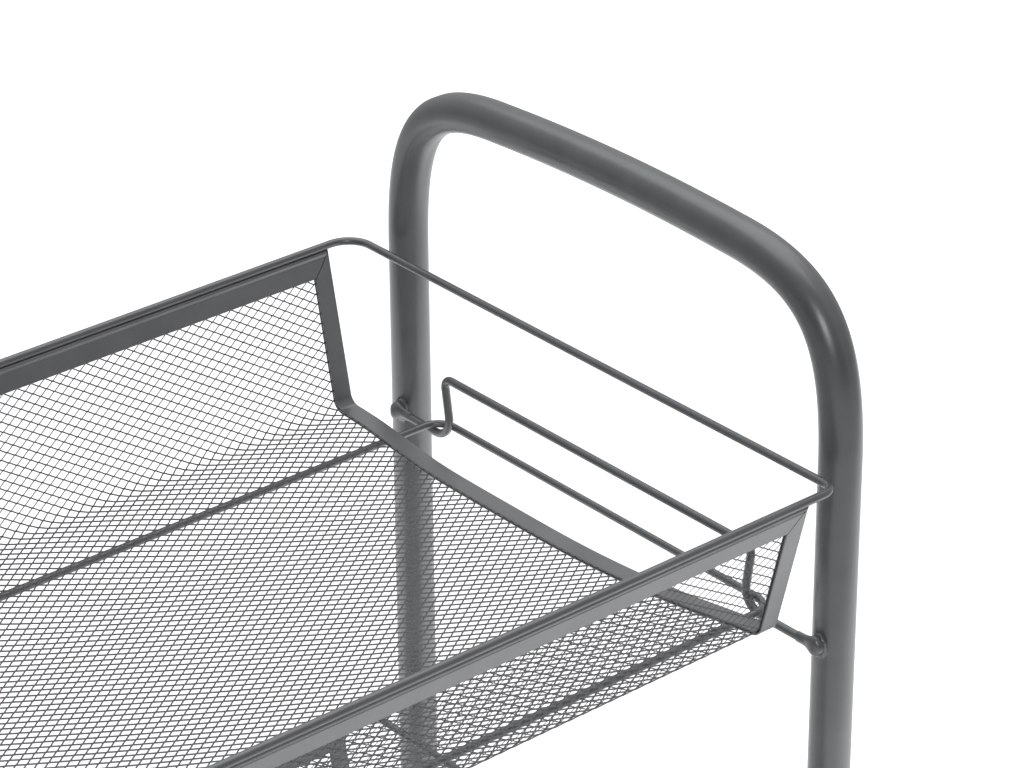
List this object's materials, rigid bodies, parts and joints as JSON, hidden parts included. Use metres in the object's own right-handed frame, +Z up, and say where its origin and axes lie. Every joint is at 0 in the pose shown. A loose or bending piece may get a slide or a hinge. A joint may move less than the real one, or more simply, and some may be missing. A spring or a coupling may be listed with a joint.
{
  "type": "rolling mesh trolley",
  "caption": "Slim rolling storage trolley: bent-tube end frames carry open-ended wire-mesh baskets on hanger bars, above small swivel castors with foot brakes at the front.",
  "frame": {"origin": "on the floor under the middle of the trolley", "axes": "+Z up, X along the trolley's length from its left end to its right end, -Y towards its front"},
  "size_m": [0.46, 0.2608, 0.64],
  "materials": {
    "grey_powder_coat": "satin powder coat",
    "black_plastic": "matte moulded",
    "grey_tread": "matte",
    "zinc_steel": "zinc plated"
  },
  "bodies": {
    "trolley_frame": {"end_frame_left": "grey_powder_coat", "end_frame_right": "grey_powder_coat", "basket_mesh_top": "grey_powder_coat", "rim_wire_top": "grey_powder_coat", "base_wire_top": "grey_powder_coat", "hem_strip_front_top": "grey_powder_coat", "hem_strip_back_top": "grey_powder_coat", "end_trim_left_top": "grey_powder_coat", "hanger_bar_top_left": "grey_powder_coat", "end_trim_right_top": "grey_powder_coat", "hanger_bar_top_right": "grey_powder_coat", "basket_mesh_middle": "grey_powder_coat", "rim_wire_middle": "grey_powder_coat", "base_wire_middle": "grey_powder_coat", "hem_strip_front_middle": "grey_powder_coat", "hem_strip_back_middle": "grey_powder_coat", "end_trim_left_middle": "grey_powder_coat", "hanger_bar_middle_left": "grey_powder_coat", "end_trim_right_middle": "grey_powder_coat", "hanger_bar_middle_right": "grey_powder_coat", "basket_mesh_bottom": "grey_powder_coat", "rim_wire_bottom": "grey_powder_coat", "base_wire_bottom": "grey_powder_coat", "hem_strip_front_bottom": "grey_powder_coat", "hem_strip_back_bottom": "grey_powder_coat", "end_trim_left_bottom": "grey_powder_coat", "hanger_bar_bottom_left": "grey_powder_coat", "end_trim_right_bottom": "grey_powder_coat", "hanger_bar_bottom_right": "grey_powder_coat", "tube_plug_front_left": "black_plastic", "castor_stem_front_left": "zinc_steel", "tube_plug_front_right": "black_plastic", "castor_stem_front_right": "zinc_steel", "tube_plug_back_left": "black_plastic", "castor_stem_back_left": "zinc_steel", "tube_plug_back_right": "black_plastic", "castor_stem_back_right": "zinc_steel"},
    "castor_front_left": {"castor_fork_front_left": "black_plastic", "castor_axle_front_left": "zinc_steel", "brake_pin_front_left": "zinc_steel"},
    "wheel_front_left": {"castor_wheel_front_left": "grey_tread"},
    "brake_front_left": {"brake_lever_front_left": "black_plastic"},
    "castor_front_right": {"castor_fork_front_right": "black_plastic", "castor_axle_front_right": "zinc_steel", "brake_pin_front_right": "zinc_steel"},
    "wheel_front_right": {"castor_wheel_front_right": "grey_tread"},
    "brake_front_right": {"brake_lever_front_right": "black_plastic"},
    "castor_back_left": {"castor_fork_back_left": "black_plastic", "castor_axle_back_left": "zinc_steel"},
    "wheel_back_left": {"castor_wheel_back_left": "grey_tread"},
    "castor_back_right": {"castor_fork_back_right": "black_plastic", "castor_axle_back_right": "zinc_steel"},
    "wheel_back_right": {"castor_wheel_back_right": "grey_tread"}
  },
  "joints": [
    {"name": "swivel_front_left", "type": "hinge", "parent": "trolley_frame", "child": "castor_front_left", "pos_m": [-0.2225, -0.115, 0.057], "axis": [0, 0, 1], "continuous": true},
    {"name": "wheel_spin_front_left", "type": "hinge", "parent": "castor_front_left", "child": "wheel_front_left", "pos_m": [-0.2055, -0.115, 0.023], "axis": [0, 1, 0], "continuous": true},
    {"name": "brake_press_front_left", "type": "hinge", "parent": "castor_front_left", "child": "brake_front_left", "pos_m": [-0.1865, -0.115, 0.044], "axis": [0, 1, 0], "range_deg": [0, 25]},
    {"name": "swivel_front_right", "type": "hinge", "parent": "trolley_frame", "child": "castor_front_right", "pos_m": [0.2225, -0.115, 0.057], "axis": [0, 0, 1], "continuous": true},
    {"name": "wheel_spin_front_right", "type": "hinge", "parent": "castor_front_right", "child": "wheel_front_right", "pos_m": [0.2055, -0.115, 0.023], "axis": [0, 1, 0], "continuous": true},
    {"name": "brake_press_front_right", "type": "hinge", "parent": "castor_front_right", "child": "brake_front_right", "pos_m": [0.1865, -0.115, 0.044], "axis": [0, -1, 0], "range_deg": [0, 25]},
    {"name": "swivel_back_left", "type": "hinge", "parent": "trolley_frame", "child": "castor_back_left", "pos_m": [-0.2225, 0.115, 0.057], "axis": [0, 0, 1], "continuous": true},
    {"name": "wheel_spin_back_left", "type": "hinge", "parent": "castor_back_left", "child": "wheel_back_left", "pos_m": [-0.2055, 0.115, 0.023], "axis": [0, 1, 0], "continuous": true},
    {"name": "swivel_back_right", "type": "hinge", "parent": "trolley_frame", "child": "castor_back_right", "pos_m": [0.2225, 0.115, 0.057], "axis": [0, 0, 1], "continuous": true},
    {"name": "wheel_spin_back_right", "type": "hinge", "parent": "castor_back_right", "child": "wheel_back_right", "pos_m": [0.2055, 0.115, 0.023], "axis": [0, 1, 0], "continuous": true}
  ]
}
